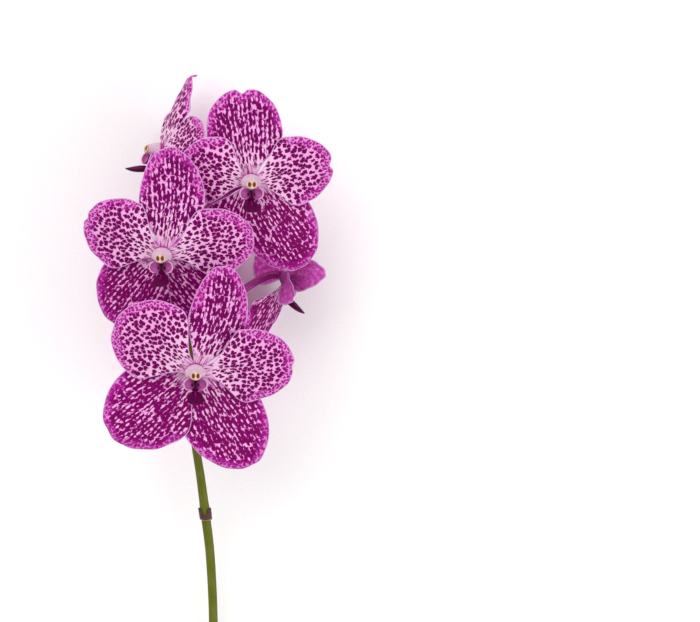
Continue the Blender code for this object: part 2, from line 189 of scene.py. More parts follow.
# Receptacle and column: (radius, height in front of the flower's centre)
HUB_PROFILE = [(1.7, -3.3), (2.1, -2.9), (2.7, -2.2), (3.6, -1.3), (4.6, -0.3), (4.9, 0.6), (4.6, 1.5)]
COLUMN_PROFILE = [
    (4.2, 1.9), (4.6, 2.3), (4.6, 3.0), (4.1, 3.9), (3.6, 4.9), (3.1, 6.0), (2.7, 7.0), (2.4, 7.7),
]
COLUMN_SIDES = 40
COLUMN_BREADTH = (1.14, 0.06)          # across against front to back, and how much less below
COLUMN_UNDERSIDE = (4.0, 0.5)          # width over which it flattens, and by how much
COLUMN_HOLLOW = (6.2, 1.5, 1.6, 1.3)   # height, half length, half width and depth, below the anther
COLUMN_TONE = (4.0, 2.4)               # height where the darker foot ends, and over what height it fades
HUB_TONE = (0.8, 2.0)

# Anther cap: half sizes and height of its middle, and the two hollows in its face
CAP_HALF_SIZES = (2.7, 2.15, 1.3)
CAP_HEIGHT = 8.1
HOLLOW_PLACE = (1.2, 0.2)
HOLLOW_SPREAD = (0.92, 1.5)
HOLLOW_DEPTH = 1.1

# Lip lobes: middle, half sizes and pitch about the cross axis
SIDE_LOBE_MIDDLE = (3.3, -4.7, 6.0)
SIDE_LOBE_HALF_SIZES = (3.0, 3.1, 2.8)
SIDE_LOBE_OPENING = (-0.3, 0.1, 1.0)
SIDE_LOBE_WALL = 0.5
SIDE_LOBE_MOUTH = 0.5          # height of the open rim above the lobe's middle
SIDE_LOBE_RIM = 1.1            # depth of the pale rim
SIDE_LOBE_PALE = (2.6, 1.6)    # where it starts, off the lip's middle, and over what width
SIDE_LOBE_DARK_AND_SHADE = (3.4, 2.8)    # where the throat's dark tone and the painted shade beside it end, and over what width
THROAT_MIDDLE = (0.0, -6.6, 3.7)
THROAT_HALF_SIZES = (2.3, 2.9, 1.7)
FRONT_LOBE_MIDDLE = (0.0, -11.2, 9.7)
FRONT_LOBE_HALF_SIZES = (4.3, 1.7, 6.4)
FRONT_LOBE_PITCH = 18
KEEL_HEIGHT = 0.5
KEEL_DIP = 0.3                 # share of it that the hollows beside a keel are sunk
KEELS = ((0.0, 0.55, 1.0), (1.7, 0.5, 0.7))    # place off the middle, half width and share of the height
TIP_CLEFT = (0.7, 0.7, 0.8)    # depth, half width, and share of the lobe's height where it starts
TIP_LIFT = (3.6, 0.55)         # how far the tip turns up, and share of the height where that starts

# Pedicel
PEDICEL_RADIUS = (1.3, 1.95)
PEDICEL_RIBS = 5
PEDICEL_RIB_DEPTH = 0.12
PEDICEL_TURN = 150
PEDICEL_NECK = 9.0
PEDICEL_STEPS = 36
PEDICEL_SIDES = 40

# Stem: (x, y, z, radius) from the cut end to the tip
STEM_ROUTE = [
    (0.5, -182.4, 2.45, 2.45), (1.0, -152.0, 3.3, 2.4), (1.7, -122.0, 6.0, 2.3),
    (2.0, -92.0, 9.6, 2.25), (0.6, -61.0, 14.6, 2.3), (-1.6, -41.0, 19.2, 2.35),
    (-4.2, -20.0, 24.6, 2.2), (-7.2, 0.0, 30.0, 2.0), (-8.6, 20.0, 35.6, 1.95),
    (-9.2, 44.0, 41.6, 1.95), (-8.6, 69.0, 45.6, 1.9), (-7.2, 94.0, 47.0, 1.8),
    (-5.4, 119.0, 47.0, 1.65), (-5.2, 133.0, 46.4, 1.3),
]
STEM_STEP = 1.5
STEM_SIDES = 32
CUT_SLANT = 2.2
NODE_SWELL = 0.35
NODE_LENGTH = 3.0
NODE_REACH = 5.0       # how far to both sides of a node the stem's direction is taken
SEAM = 0.01 * MM       # doubles nearer than this are merged

# Sheath bract round the node low on the stem
SHEATH_PLACE = -40.0
SHEATH_LENGTH = 6.5
SHEATH_WALL = 0.45
SHEATH_WRAP = 285
SHEATH_COLUMNS = 48
SHEATH_ROWS = 16
SHEATH_NOTCH = (0.7, 0.45)     # share of its length, and half width round the stem in radians
SHEATH_FALL = (0.25, 2.5)      # share by which it falls away at the back, and how far round that is
SHEATH_RAGS = (0.04, 9)        # share of its length and number of the rim's rags
SHEATH_PLEATS = (0.05, 24)     # depth and number
SHEATH_FLARE = 0.1
SHEATH_CLEARANCE = 0.24
SHEATH_FOOT = 0.3              # share of its length below its place

# Floral bract at the foot of each pedicel
BRACT_LENGTH = 5.5
BRACT_WRAP = 150
BRACT_CLEARANCE = 0.5
BRACT_SPREAD = 0.5
BRACT_COLUMNS = 16
BRACT_ROWS = 12


def colour(code):
    """A linear colour from an sRGB hex value."""
    parts = [int(code[i:i + 2], 16) / 255 for i in (1, 3, 5)]
    return (*[p / 12.92 if p <= 0.04045 else ((p + 0.055) / 1.055) ** 2.4 for p in parts], 1.0)


def add(tree, kind, inputs=(), output=0, stops=(), **settings):
    """Adds a shader node with its settings, colour stops and links, and gives back one of its outputs.

    Its inputs come in order or by name or number, and each is a value or another node's output.
    """
    node = tree.nodes.new("ShaderNode" + kind)
    for name, value in settings.items():
        setattr(node, name, value)
    for name, value in dict(inputs if isinstance(inputs, dict) else enumerate(inputs)).items():
        if isinstance(value, bpy.types.NodeSocket):
            tree.links.new(value, node.inputs[name])
        else:
            node.inputs[name].default_value = value
    if stops:
        elements = node.color_ramp.elements
        while len(elements) < len(stops):
            elements.new(0.5)
        for element, (place, code) in zip(elements, stops):
            element.position = place
            element.color = colour(code)
    return node.outputs[output]


def new_material(name, roughness, ior=1.45, **constants):
    """A material, its tree and its shader with constant values. The IOR is that of plant tissue and paper."""
    made = bpy.data.materials.new(name)
    made.use_nodes = True
    shader = made.node_tree.nodes["Principled BSDF"]
    shader.inputs["Roughness"].default_value = roughness
    shader.inputs["IOR"].default_value = ior
    for label, value in constants.items():
        shader.inputs[label.replace("_", " ")].default_value = value
    return made, made.node_tree, shader


# Settings that many nodes share: a Map Range that eases, a Mix of two colours (its inputs 6 and 7), and
# textures laid flat on a blade
EASED = {"interpolation_type": "SMOOTHSTEP"}
TINTS = {"output": 2, "data_type": "RGBA"}
FLAT_NOISE = {"noise_dimensions": "2D"}
FLAT_CELLS = {"voronoi_dimensions": "2D"}

Spotting = namedtuple(
    "Spotting", "wall edge_wall base_wall net_share speck speck_change fringe deep ground pale"
)


def tepal_front(name, spots):
    """The waxy face of a tepal: tessellated spots between the veins, finer towards a lilac margin.

    The spots lie in the space of the veins, so they run out from the claw in rows. A petal is a pale
    net round dark cells, and a sepal is dark with rows of pale specks.
    """
    made, tree, shader = new_material(name, roughness=0.5, Specular_IOR_Level=0.05)
    veins = add(tree, "Attribute", output="Vector", attribute_name="veins")
    blade = add(tree, "Attribute", output="Vector", attribute_name="blade")
    blade = add(tree, "SeparateXYZ", [blade]).node.outputs
    share, margin = blade["X"], blade["Y"]

    # Wobble of the cells, so that none is a straight-sided polygon
    wobble = {"Vector": veins, "Scale": WOBBLE_RATE, "Detail": 2.0}
    wobble = add(tree, "TexNoise", wobble, "Color", **FLAT_NOISE)
    shift = add(tree, "VectorMath", (wobble, (0.5, 0.5, 0.5)), operation="SUBTRACT")
    shift = add(tree, "VectorMath", {0: shift, "Scale": WOBBLE}, operation="SCALE")
    cells = add(tree, "VectorMath", (veins, shift), operation="ADD")
    patches = add(tree, "TexNoise", {"Vector": veins, "Scale": PATCH_RATE, "Detail": 1.0}, **FLAT_NOISE)

    # Where the pattern turns fine, a few millimetres from the margin, and where it opens at the claw
    edge_place = add(tree, "Math", (patches, EDGE_DRIFT, margin), operation="MULTIPLY_ADD")
    off_claw = add(tree, "MapRange", (share, 0.62, 0.32, 0.0, EDGE_RETREAT), **EASED)
    edge_place = add(tree, "Math", (edge_place, off_claw), operation="ADD")
    near_margin = add(tree, "MapRange", (edge_place, *FINE_FROM), **EASED)
    near_claw = add(tree, "MapRange", (share, 0.45, 0.12), **EASED)

    # Pale net between rounded dark cells, in two sizes
    nets = []
    for rate, wall in zip(CELL_RATES, (spots.wall, spots.edge_wall)):
        cell = {"Vector": cells, "Scale": rate, "Randomness": CELL_STRAY}
        core = add(tree, "TexVoronoi", cell, **FLAT_CELLS)
        walls = add(tree, "TexVoronoi", cell, feature="DISTANCE_TO_EDGE", **FLAT_CELLS)
        chance = add(tree, "SeparateColor", [core.node.outputs["Color"]], "Red")
        depth = add(tree, "Math", (0.5, core), operation="SUBTRACT")
        depth = add(tree, "Math", (depth, CORE_WEIGHT), operation="MULTIPLY")
        depth = add(tree, "Math", (walls, WALL_WEIGHT, depth), operation="MULTIPLY_ADD")
        depth = add(tree, "Math", (chance, -CELL_CHANGE, depth), operation="MULTIPLY_ADD")
        depth = add(tree, "Math", (near_claw, -spots.base_wall, depth), operation="MULTIPLY_ADD")
        nets.append(add(tree, "MapRange", (depth, wall + NET_BLUR[0], wall - NET_BLUR[1]), **EASED))
    net = add(tree, "Mix", {0: near_margin, 2: nets[0], 3: nets[1]})
    net = add(tree, "Math", (net, spots.net_share), operation="MULTIPLY")

    # Pale specks in rows between the veins, each row set off from the next
    shift = add(tree, "VectorMath", {0: shift, "Scale": ROW_WOBBLE}, operation="SCALE")
    rows = add(tree, "VectorMath", (veins, shift), operation="ADD")
    rows = add(tree, "SeparateXYZ", [rows]).node.outputs
    row = add(tree, "Math", [rows["X"]], operation="FLOOR")
    row_shift = add(tree, "TexWhiteNoise", {"W": row}, "Value", noise_dimensions="1D")
    along = add(tree, "Math", (row_shift, ROW_SHIFT, rows["Y"]), operation="MULTIPLY_ADD")
    rows = add(tree, "CombineXYZ", (rows["X"], along))
    seed = {"Vector": rows, "Scale": 1.0, "Randomness": ROW_STRAY}
    seeds = add(tree, "TexVoronoi", seed, "Position", **FLAT_CELLS)
    away = add(tree, "VectorMath", (rows, seeds), operation="SUBTRACT")
    away = add(tree, "VectorMath", (away, SPECK_SHAPE), operation="MULTIPLY")
    away = add(tree, "VectorMath", [away], "Value", operation="LENGTH")
    luck = add(tree, "SeparateColor", [seeds.node.outputs["Color"]], "Green")
    reach = add(tree, "Math", (luck, spots.speck_change, spots.speck), operation="MULTIPLY_ADD")
    reach = add(tree, "Math", (near_margin, -EDGE_SHRINK, reach), operation="MULTIPLY_ADD")
    away = add(tree, "Math", (away, reach), operation="SUBTRACT")
    speck = add(tree, "MapRange", (away, SPECK_BLUR, -SPECK_BLUR), **EASED)
    marks = add(tree, "Math", (net, speck), operation="MAXIMUM")

    # Short pale streaks that run out to the margin
    streaks = add(tree, "VectorMath", (veins, FRINGE_RATES), operation="MULTIPLY")
    streaks = add(tree, "TexNoise", {"Vector": streaks, "Scale": 1.0, "Detail": 2.0}, **FLAT_NOISE)
    streaks = add(tree, "MapRange", (streaks, 0.48, 0.62), **EASED)
    at_margin = add(tree, "MapRange", (margin, *FRINGE_FROM, 0.0, spots.fringe), **EASED)
    fringe = add(tree, "Math", (streaks, at_margin), operation="MULTIPLY")
    past_claw = add(tree, "MapRange", (share, 0.4, 0.7), **EASED)
    fringe = add(tree, "Math", (fringe, past_claw), operation="MULTIPLY")
    marks = add(tree, "Math", (marks, fringe), operation="MAXIMUM")

    # Colours: deep ground in the middle, brighter towards the margin, pale marks and a lilac edge
    tone = add(tree, "MapRange", (edge_place, *BRIGHT_FROM), **EASED)
    tone = add(tree, "Math", (patches, 0.25, tone), operation="MULTIPLY_ADD")
    ground = add(tree, "ValToRGB", [tone], stops=[(0.1, spots.deep), (0.6, spots.ground), (1.0, "#98157c")])
    pale = add(tree, "ValToRGB", [near_margin], stops=[(0.0, spots.pale), (1.0, "#cf80bf")])
    whiter = add(tree, "MapRange", (share, 0.65, 0.2), **EASED)
    pale = add(tree, "Mix", {0: whiter, 6: pale, 7: colour("#dcb2ce")}, **TINTS)
    bleed = add(tree, "MapRange", (marks, 0.05, 0.45), **EASED)
    ground = add(tree, "Mix", {0: bleed, 6: ground, 7: colour("#a62090")}, **TINTS)
    marked = add(tree, "MapRange", (marks, 0.45, 1.0), **EASED)
    face = add(tree, "Mix", {0: marked, 6: ground, 7: pale}, **TINTS)
    claw = add(tree, "VectorMath", (veins, CLAW_STREAK_RATES), operation="MULTIPLY")
    claw = add(tree, "TexNoise", {"Vector": claw, "Scale": 1.0, "Detail": 1.0}, **FLAT_NOISE)
    claw = add(tree, "ValToRGB", [claw], stops=[(0.42, "#dab4cc"), (0.54, "#d08cbe"), (0.62, "#98107a")])
    on_claw = add(tree, "MapRange", (share, 0.2, 0.1), **EASED)
    face = add(tree, "Mix", {0: on_claw, 6: face, 7: claw}, **TINTS)
    on_rim = add(tree, "MapRange", (margin, 0.6, 0.25), **EASED)
    face = add(tree, "Mix", {0: on_rim, 6: face, 7: colour("#cf95cc")}, **TINTS)
    tree.links.new(face, shader.inputs["Base Color"])

    # Relief of the veins and of the cells between them
    drawn = add(tree, "VectorMath", (veins, VEIN_RATES), operation="MULTIPLY")
    drawn = add(tree, "TexNoise", {"Vector": drawn, "Scale": 1.0, "Detail": 3.0}, **FLAT_NOISE)
    height = add(tree, "Math", (net, -0.3, drawn), operation="MULTIPLY_ADD")
    bump = add(tree, "Bump", {"Strength": 0.4, "Distance": VEIN_DEPTH, "Height": height})
    tree.links.new(bump, shader.inputs["Normal"])
    return made


def tepal_back(name, tones, spot, spot_share):
    """The back of a tepal: duller than the face, with its spots showing through faintly."""
    made, tree, shader = new_material(name, roughness=0.55, Specular_IOR_Level=0.1)
    veins = add(tree, "Attribute", output="Vector", attribute_name="veins")
    blade = add(tree, "Attribute", output="Vector", attribute_name="blade")
    margin = add(tree, "SeparateXYZ", [blade], "Y")
    mottle = add(tree, "TexNoise", {"Vector": veins, "Scale": 0.9, "Detail": 3.0}, **FLAT_NOISE)
    ground = add(tree, "ValToRGB", [mottle], stops=list(zip((0.3, 0.5, 0.7), tones)))
    cells = add(tree, "TexVoronoi", {"Vector": veins, "Scale": 1.3, "Randomness": CELL_STRAY}, **FLAT_CELLS)
    through = add(tree, "MapRange", (cells, 0.5, 0.1, 0.0, spot_share), **EASED)
    ground = add(tree, "Mix", {0: through, 6: ground, 7: colour(spot)}, **TINTS)
    drawn = add(tree, "VectorMath", (veins, VEIN_RATES), operation="MULTIPLY")
    drawn = add(tree, "TexNoise", {"Vector": drawn, "Scale": 1.0, "Detail": 3.0}, **FLAT_NOISE)
    lines = add(tree, "MapRange", (drawn, 0.52, 0.68, 0.0, 0.4), **EASED)
    ground = add(tree, "Mix", {0: lines, 6: ground, 7: colour(spot)}, **TINTS)
    on_rim = add(tree, "MapRange", (margin, 0.8, 0.4), **EASED)
    ground = add(tree, "Mix", {0: on_rim, 6: ground, 7: colour("#cf9bcb")}, **TINTS)
    tree.links.new(ground, shader.inputs["Base Color"])
    bump = add(tree, "Bump", {"Strength": 0.4, "Distance": VEIN_DEPTH, "Height": drawn})
    tree.links.new(bump, shader.inputs["Normal"])
    return made


def marked_flesh(name, base, mark, roughness, relief, width=(0.35, 0.65), deep=None, specular=0.25):
    """Tissue whose second tone follows the piece's own mark attribute, such as a pale rim."""
    made, tree, shader = new_material(name, roughness=roughness, Specular_IOR_Level=specular)
    place = add(tree, "TexCoord", output="Object")
    drift = add(tree, "TexNoise", {"Vector": place, "Scale": DRIFT_RATE, "Detail": 3.0})
    face = add(tree, "ValToRGB", [drift], stops=[(0.3, base[0]), (0.7, base[1])])
    marked = add(tree, "Attribute", output="Fac", attribute_name="mark")
    marked = add(tree, "MapRange", (marked, *width), **EASED)
    face = add(tree, "Mix", {0: marked, 6: face, 7: colour(mark)}, **TINTS)
    # A darker tone towards the lip's middle: partly the throat's own colour and partly painted shade
    if deep:
        inner = add(tree, "Attribute", output="Fac", attribute_name="inner")
        face = add(tree, "Mix", {0: inner, 6: face, 7: colour(deep)}, **TINTS)
    tree.links.new(face, shader.inputs["Base Color"])
    grain = add(tree, "TexNoise", {"Vector": place, "Scale": GRAIN_RATE, "Detail": 2.0})
    bump = add(tree, "Bump", {"Strength": relief, "Distance": GRAIN_DEPTH, "Height": grain})
    tree.links.new(bump, shader.inputs["Normal"])
    return made


def stalk_skin(name, tones, line, roughness, line_rates):
    """Skin of a green or mauve stalk: fine ribs along it, drifting tones, and lines on the ribs, darker on
    the stem and paler as painted highlights on the flower stalks.
    """
    made, tree, shader = new_material(name, roughness=roughness, Specular_IOR_Level=0.2)
    sleeve = add(tree, "Attribute", output="Vector", attribute_name="sleeve")
    drawn = add(tree, "VectorMath", (sleeve, line_rates), operation="MULTIPLY")
    drawn = add(tree, "TexNoise", {"Vector": drawn, "Scale": 1.0, "Detail": 4.0})
    drift = add(tree, "TexNoise", {"Vector": sleeve, "Scale": STALK_DRIFT_RATE, "Detail": 3.0})
    body = add(tree, "ValToRGB", [drift], stops=list(zip((0.3, 0.5, 0.7), tones)))
    # Lines on the ribs' tops in the line colour: darker on the stem, and painted highlights where it is paler
    lines = add(tree, "MapRange", (drawn, 0.52, 0.75, 0.0, 0.6), **EASED)
    body = add(tree, "Mix", {0: lines, 6: body, 7: colour(line)}, **TINTS)
    tree.links.new(body, shader.inputs["Base Color"])
    bump = add(tree, "Bump", {"Strength": 0.35, "Distance": RIB_DEPTH, "Height": drawn})
    tree.links.new(bump, shader.inputs["Normal"])
    return made


def deselect():
    if bpy.context.object and bpy.context.object.mode != "OBJECT":
        bpy.ops.object.mode_set(mode="OBJECT")
    bpy.ops.object.select_all(action="DESELECT")


def vertices(piece):
    """The places of a piece's vertices, in millimetres."""
    flat = np.empty(len(piece.data.vertices) * 3)
    piece.data.vertices.foreach_get("co", flat)
    return flat.reshape(-1, 3) / MM


def move_vertices(piece, points):
    piece.data.vertices.foreach_set("co", (np.asarray(points) * MM).ravel())
    piece.data.update()


def write_attribute(piece, name, values):
    """A number or a vector on each vertex."""
    values = np.asarray(values, float)
    kind, field = ("FLOAT", "value") if values.ndim == 1 else ("FLOAT_VECTOR", "vector")
    layer = piece.data.attributes.new(name, kind, "POINT")
    layer.data.foreach_set(field, values.ravel())


def flat_grid(columns, rows):
    """A grid to shape, with its vertices' places from -0.5 to 0.5 across and from 0 to 1 along."""
    deselect()
    bpy.ops.mesh.primitive_grid_add(x_subdivisions=columns, y_subdivisions=rows, size=1)
    piece = bpy.context.object
    places = vertices(piece) * MM
    return piece, places[:, 0], places[:, 1] + 0.5


def hand_over(piece, name, nodes, materials):
    """Names a finished piece, gives it its materials, ties it to the spike's body, and hides the CAD nodes it
    stands for.
    """
    piece.name = name
    piece.data.name = name
    for each in materials:
        piece.data.materials.append(each)
    for face in piece.data.polygons:
        face.use_smooth = True
    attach(piece, "root")
    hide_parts(*nodes)


def apply_modifier(piece, kind, **settings):
    """Adds one modifier and applies it."""
    deselect()
    piece.select_set(True)
    bpy.context.view_layer.objects.active = piece
    modifier = piece.modifiers.new(kind.title(), kind)
    for name, value in settings.items():
        setattr(modifier, name, value)
    bpy.ops.object.modifier_apply(modifier=modifier.name)


def unit(vector):
    return np.array(vector, float) / np.linalg.norm(vector)


def bloom_axes(bloom):
    """Across, up and forward directions of a flower, as rows."""
    forward = unit(bloom.faces)
    up = np.array(bloom.up, float)
    up = unit(up - forward * up.dot(forward))
    return np.array([np.cross(up, forward), up, forward])


def place(bloom, points):
    """Points of the flower's own frame, in the spike's frame."""
    return np.array(bloom.centre) + np.asarray(points, float) @ bloom_axes(bloom)


def lie_on_surface(points, lowest):
    """Bends what would pass below the surface up, so that it lies along it."""
    height = (points[..., 2] - lowest) / PRESS_REACH
    eased = np.log1p(np.exp(np.minimum(height, PRESS_FREE) * PRESS_CRISPNESS)) / PRESS_CRISPNESS
    pressed = points.copy()
    pressed[..., 2] = lowest + PRESS_REACH * np.where(height > PRESS_FREE, height, eased)
    return pressed


def flat_place(tepal, u, theta):
    """Across and along places of a tepal's point, before it is bent."""
    v = np.sin(theta)
    spread = CLAW_SHARE + (1 - CLAW_SHARE) * np.sin(u * math.pi / 2) ** tepal.flare
    rise = tepal.widest + (1 - tepal.widest) * np.abs(np.cos(theta)) ** tepal.blunt
    reach = tepal.length * rise - tepal.notch * np.exp(-((v - tepal.notch_at) / NOTCH_WIDTH) ** 2)
    scallops = sum(part * np.sin(waves * theta + turn * tepal.phase) for waves, turn, part in SCALLOPS)
    reach = reach + SCALLOP * scallops * np.cos(theta)
    along = TEPAL_ROOT + u * (reach - TEPAL_ROOT)
    return v * spread * tepal.width / 2, along, v, spread


def tepal_points(bloom, tepal, u, theta):
    """The middle surface of a tepal as in the CAD model, with its groove, veins and frill."""
    across, along, v, spread = flat_place(tepal, u, theta)
    share = along / tepal.length
    tilt = math.radians(tepal.tilt)
    bend = math.radians(tepal.bend) or 1e-4
    lean = tilt + bend * share
    out = tepal.length * (np.sin(lean) - math.sin(tilt)) / bend
    drop = tepal.length * (np.cos(lean) - math.cos(tilt)) / bend
    side = np.abs(v) ** 3 * u
    rim = u ** 4
    ripple = np.sin(RIPPLES[0] * theta + tepal.phase) * rim + np.sin(RIPPLES[1] * share + tepal.phase) * side
    lift = tepal.cup * v ** 2 * spread ** 2 + tepal.wave * ripple
    groove = -MIDRIB_GROOVE * np.exp(-(v / GROOVE_WIDTH) ** 2) * (1 - u ** 3) * np.minimum(1, 4 * u)
    veins = VEIN_RELIEF * np.cos(v * tepal.width / 2 / SEPAL_CELL[0] * 2 * math.pi) * np.sin(u * math.pi)
    frill = MARGIN_FRILL * np.sin(FRILL_WAVES * theta + 3 * tepal.phase) * (rim ** 2 + side * np.abs(v) ** 6)
    lift = lift + groove + veins + frill
    turn = math.radians(tepal.twist) * np.minimum(1, TWIST_RATE * share)
    across, lift = across * np.cos(turn) - lift * np.sin(turn), across * np.sin(turn) + lift * np.cos(turn)
    across = across + tepal.bow * np.sin(math.pi * share)
    out = out + np.sin(lean) * lift
    drop = drop + np.cos(lean) * lift + tepal.layer
    hooked = np.clip((share - HOOK_START) / (1 - HOOK_START), 0, 1) ** 1.5
    drop = drop - tepal.hook * hooked
    out = out - 0.5 * tepal.hook * hooked
    angle = math.radians(tepal.angle)
    x = out * math.sin(angle) + across * math.cos(angle)
    y = out * math.cos(angle) - across * math.sin(angle)
    return lie_on_surface(place(bloom, np.stack([x, y, drop], axis=-1)), BLADE / 2)


def margin_distance(tepal, across, along):
    """How far each point of the flat tepal is from its margin."""
    fan = np.radians(np.linspace(-90, 90, TIP_SAMPLES))
    sides = np.linspace(0.05, 1, SIDE_SAMPLES)
    edge_u = np.concatenate([np.ones(TIP_SAMPLES), sides, sides])
    flank = np.full(SIDE_SAMPLES, math.pi / 2)
    edge_theta = np.concatenate([fan, -flank, flank])
    edge_across, edge_along = flat_place(tepal, edge_u, edge_theta)[:2]
    return np.hypot(across[:, None] - edge_across, along[:, None] - edge_along).min(axis=1)


def tepal_name(tepal):
    """Dorsal sepal, or a side and petal or sepal, as the flower's front is seen."""
    part = "petal" if tepal.layer > 0 else "sepal"
    if part == "sepal" and abs(tepal.angle) < 40:
        return "dorsal_sepal"
    return ("right_" if tepal.angle > 0 else "left_") + part


def make_tepal(bloom, tepal, seed):
    """A blade: a grid set out as a fan of veins, bent, and given a wall that thins to the margin."""
    piece, side, u = flat_grid(BLADE_COLUMNS, BLADE_ROWS)
    theta = side * math.pi
    across, along, v, spread = flat_place(tepal, u, theta)
    move_vertices(piece, tepal_points(bloom, tepal, u, theta))

    share = along / tepal.length
    margin = margin_distance(tepal, across, along)
    gather = spread ** GATHER
    cell_across, cell_along = PETAL_CELL if tepal.layer > 0 else SEPAL_CELL
    row = v * tepal.width / 2 / cell_across * gather + SEED_SHIFT[0] * seed
    fade = BASE_FADE * tepal.length
    step = (along - BASE_STRETCH * fade * (1 - np.exp(-along / fade))) / cell_along + SEED_SHIFT[1] * seed
    write_attribute(piece, "veins", np.stack([row, step, 0 * row], axis=1))
    write_attribute(piece, "blade", np.stack([share, margin, np.abs(v)], axis=1))
    group = piece.vertex_groups.new(name="wall")
    for index, weight in enumerate(np.clip(margin / MARGIN_TAPER, 0, 1)):
        group.add([index], float(weight), "REPLACE")
    name = tepal_name(tepal)
    front = "dorsal" if "dorsal" in name else name.split("_")[-1]
    piece.data.materials.append(TEPAL_FINISHES["petal" if tepal.look == "netted" else front])
    # A back whose look is "lit" takes lighter tones: painted light
    piece.data.materials.append(TEPAL_FINISHES["painted_lit_back" if tepal.look == "lit" else "back"])
    apply_modifier(piece, "SOLIDIFY", thickness=BLADE_WALL * MM, offset=0.0, use_quality_normals=True,
                   vertex_group="wall", thickness_vertex_group=MARGIN_SHARE, material_offset=1)
    piece.vertex_groups.clear()
    hand_over(piece, f"{bloom.name}_{name}", [bloom.name + "_tepals"], [])


def turned(profile, sides):
    """A round piece extruded ring by ring from a disc, through its (radius, height) profile."""
    deselect()
    radius, height = profile[0]
    bpy.ops.mesh.primitive_circle_add(vertices=sides, radius=radius * MM, fill_type="NGON",
                                      location=(0, 0, height * MM))
    bpy.ops.object.transform_apply(location=True, rotation=False, scale=False)
    bpy.ops.object.mode_set(mode="EDIT")
    for (wide, low), (narrow, high) in zip(profile, profile[1:]):
        bpy.ops.mesh.extrude_region_move(TRANSFORM_OT_translate={"value": (0, 0, (high - low) * MM)})
        share = narrow / wide
        bpy.ops.transform.resize(value=(share, share, 1), center_override=(0, 0, high * MM))
    bpy.ops.mesh.inset(thickness=profile[-1][0] * 0.5 * MM)
    bpy.ops.mesh.select_all(action="SELECT")
    bpy.ops.mesh.normals_make_consistent(inside=False)
    bpy.ops.object.mode_set(mode="OBJECT")
    return bpy.context.object


def ball(middle, half_sizes, segments, rings, pitch=0):
    """A ball drawn out to its half sizes and turned about the cross axis, at its place."""
    deselect()
    bpy.ops.mesh.primitive_uv_sphere_add(segments=segments, ring_count=rings, radius=MM)
    piece = bpy.context.object
    piece.data.transform(Matrix.Diagonal((*half_sizes, 1)))
    piece.data.transform(Matrix.Rotation(math.radians(pitch), 4, "X"))
    piece.data.transform(Matrix.Translation(Vector(middle) * MM))
    return piece


def model_receptacle():
    piece = turned(HUB_PROFILE, COLUMN_SIDES)
    points = vertices(piece)
    write_attribute(piece, "mark", np.clip((HUB_TONE[0] - points[:, 2]) / HUB_TONE[1], 0, 1))
    return piece


def model_column():
    """The column: a blunt cone, its back rounded and its underside hollow below the anther."""
    piece = turned(COLUMN_PROFILE, COLUMN_SIDES)
    points = vertices(piece)
    x, y, z = points.T
    under = np.clip(-y / COLUMN_UNDERSIDE[0], 0, 1)
    height, half_length, half_width, depth = COLUMN_HOLLOW
    hollow = depth * np.exp(-((z - height) / half_length) ** 2) * np.exp(-(x / half_width) ** 2)
    points[:, 1] = y + under * (COLUMN_UNDERSIDE[1] + hollow)
    points[:, 0] = x * (COLUMN_BREADTH[0] - COLUMN_BREADTH[1] * under)
    move_vertices(piece, points)
    write_attribute(piece, "mark", np.clip((COLUMN_TONE[0] - z) / COLUMN_TONE[1], 0, 1))
    apply_modifier(piece, "SUBSURF", levels=1, render_levels=1)
    return piece


def model_cap():
    """The anther cap: a cushion with two deep hollows and a ridge between them."""
    piece = ball((0, 0, 0), CAP_HALF_SIZES, 72, 44)
    points = vertices(piece)
    x, y, z = points.T
    dents = sum(np.exp(-((x - side * HOLLOW_PLACE[0]) / HOLLOW_SPREAD[0]) ** 2
                       - ((y - HOLLOW_PLACE[1]) / HOLLOW_SPREAD[1]) ** 2) for side in (-1, 1))
    dents = dents * (z > 0)
    points[:, 2] = z - HOLLOW_DEPTH * dents + CAP_HEIGHT
    move_vertices(piece, points)
    write_attribute(piece, "mark", dents)
    return piece


def model_side_lobe(side):
    """One ear of the lip: a cup open to the front, with a thin pale rim."""
    x, y, z = SIDE_LOBE_MIDDLE
    piece = ball((side * x, y, z), SIDE_LOBE_HALF_SIZES, 40, 24)
    opening = unit((side * SIDE_LOBE_OPENING[0], *SIDE_LOBE_OPENING[1:]))
    mouth = np.array((side * x, y, z + SIDE_LOBE_MOUTH))
    bpy.ops.object.mode_set(mode="EDIT")
    bpy.ops.mesh.select_all(action="SELECT")
    bpy.ops.mesh.bisect(plane_co=Vector(mouth) * MM, plane_no=opening, clear_outer=True)
    bpy.ops.object.mode_set(mode="OBJECT")
    points = vertices(piece)
    off_middle = np.abs(points[:, 0])
    outer = np.clip((off_middle - SIDE_LOBE_PALE[0]) / SIDE_LOBE_PALE[1], 0, 1)
    # Darker towards the lip's middle: the throat's own dark tone, and painted shade under the column
    inner = np.clip((SIDE_LOBE_DARK_AND_SHADE[0] - off_middle) / SIDE_LOBE_DARK_AND_SHADE[1], 0, 1)
    write_attribute(piece, "mark", np.clip(1 + (points - mouth) @ opening / SIDE_LOBE_RIM, 0, 1) * outer)
    write_attribute(piece, "inner", inner ** 1.6)
    apply_modifier(piece, "SOLIDIFY", thickness=SIDE_LOBE_WALL * MM, offset=-1.0, use_even_offset=True)
    return piece


def model_throat():
    """The dark neck of the lip under the anther."""
    piece = ball(THROAT_MIDDLE, THROAT_HALF_SIZES, 32, 20)
    write_attribute(piece, "mark", np.zeros(len(piece.data.vertices)))
    return piece


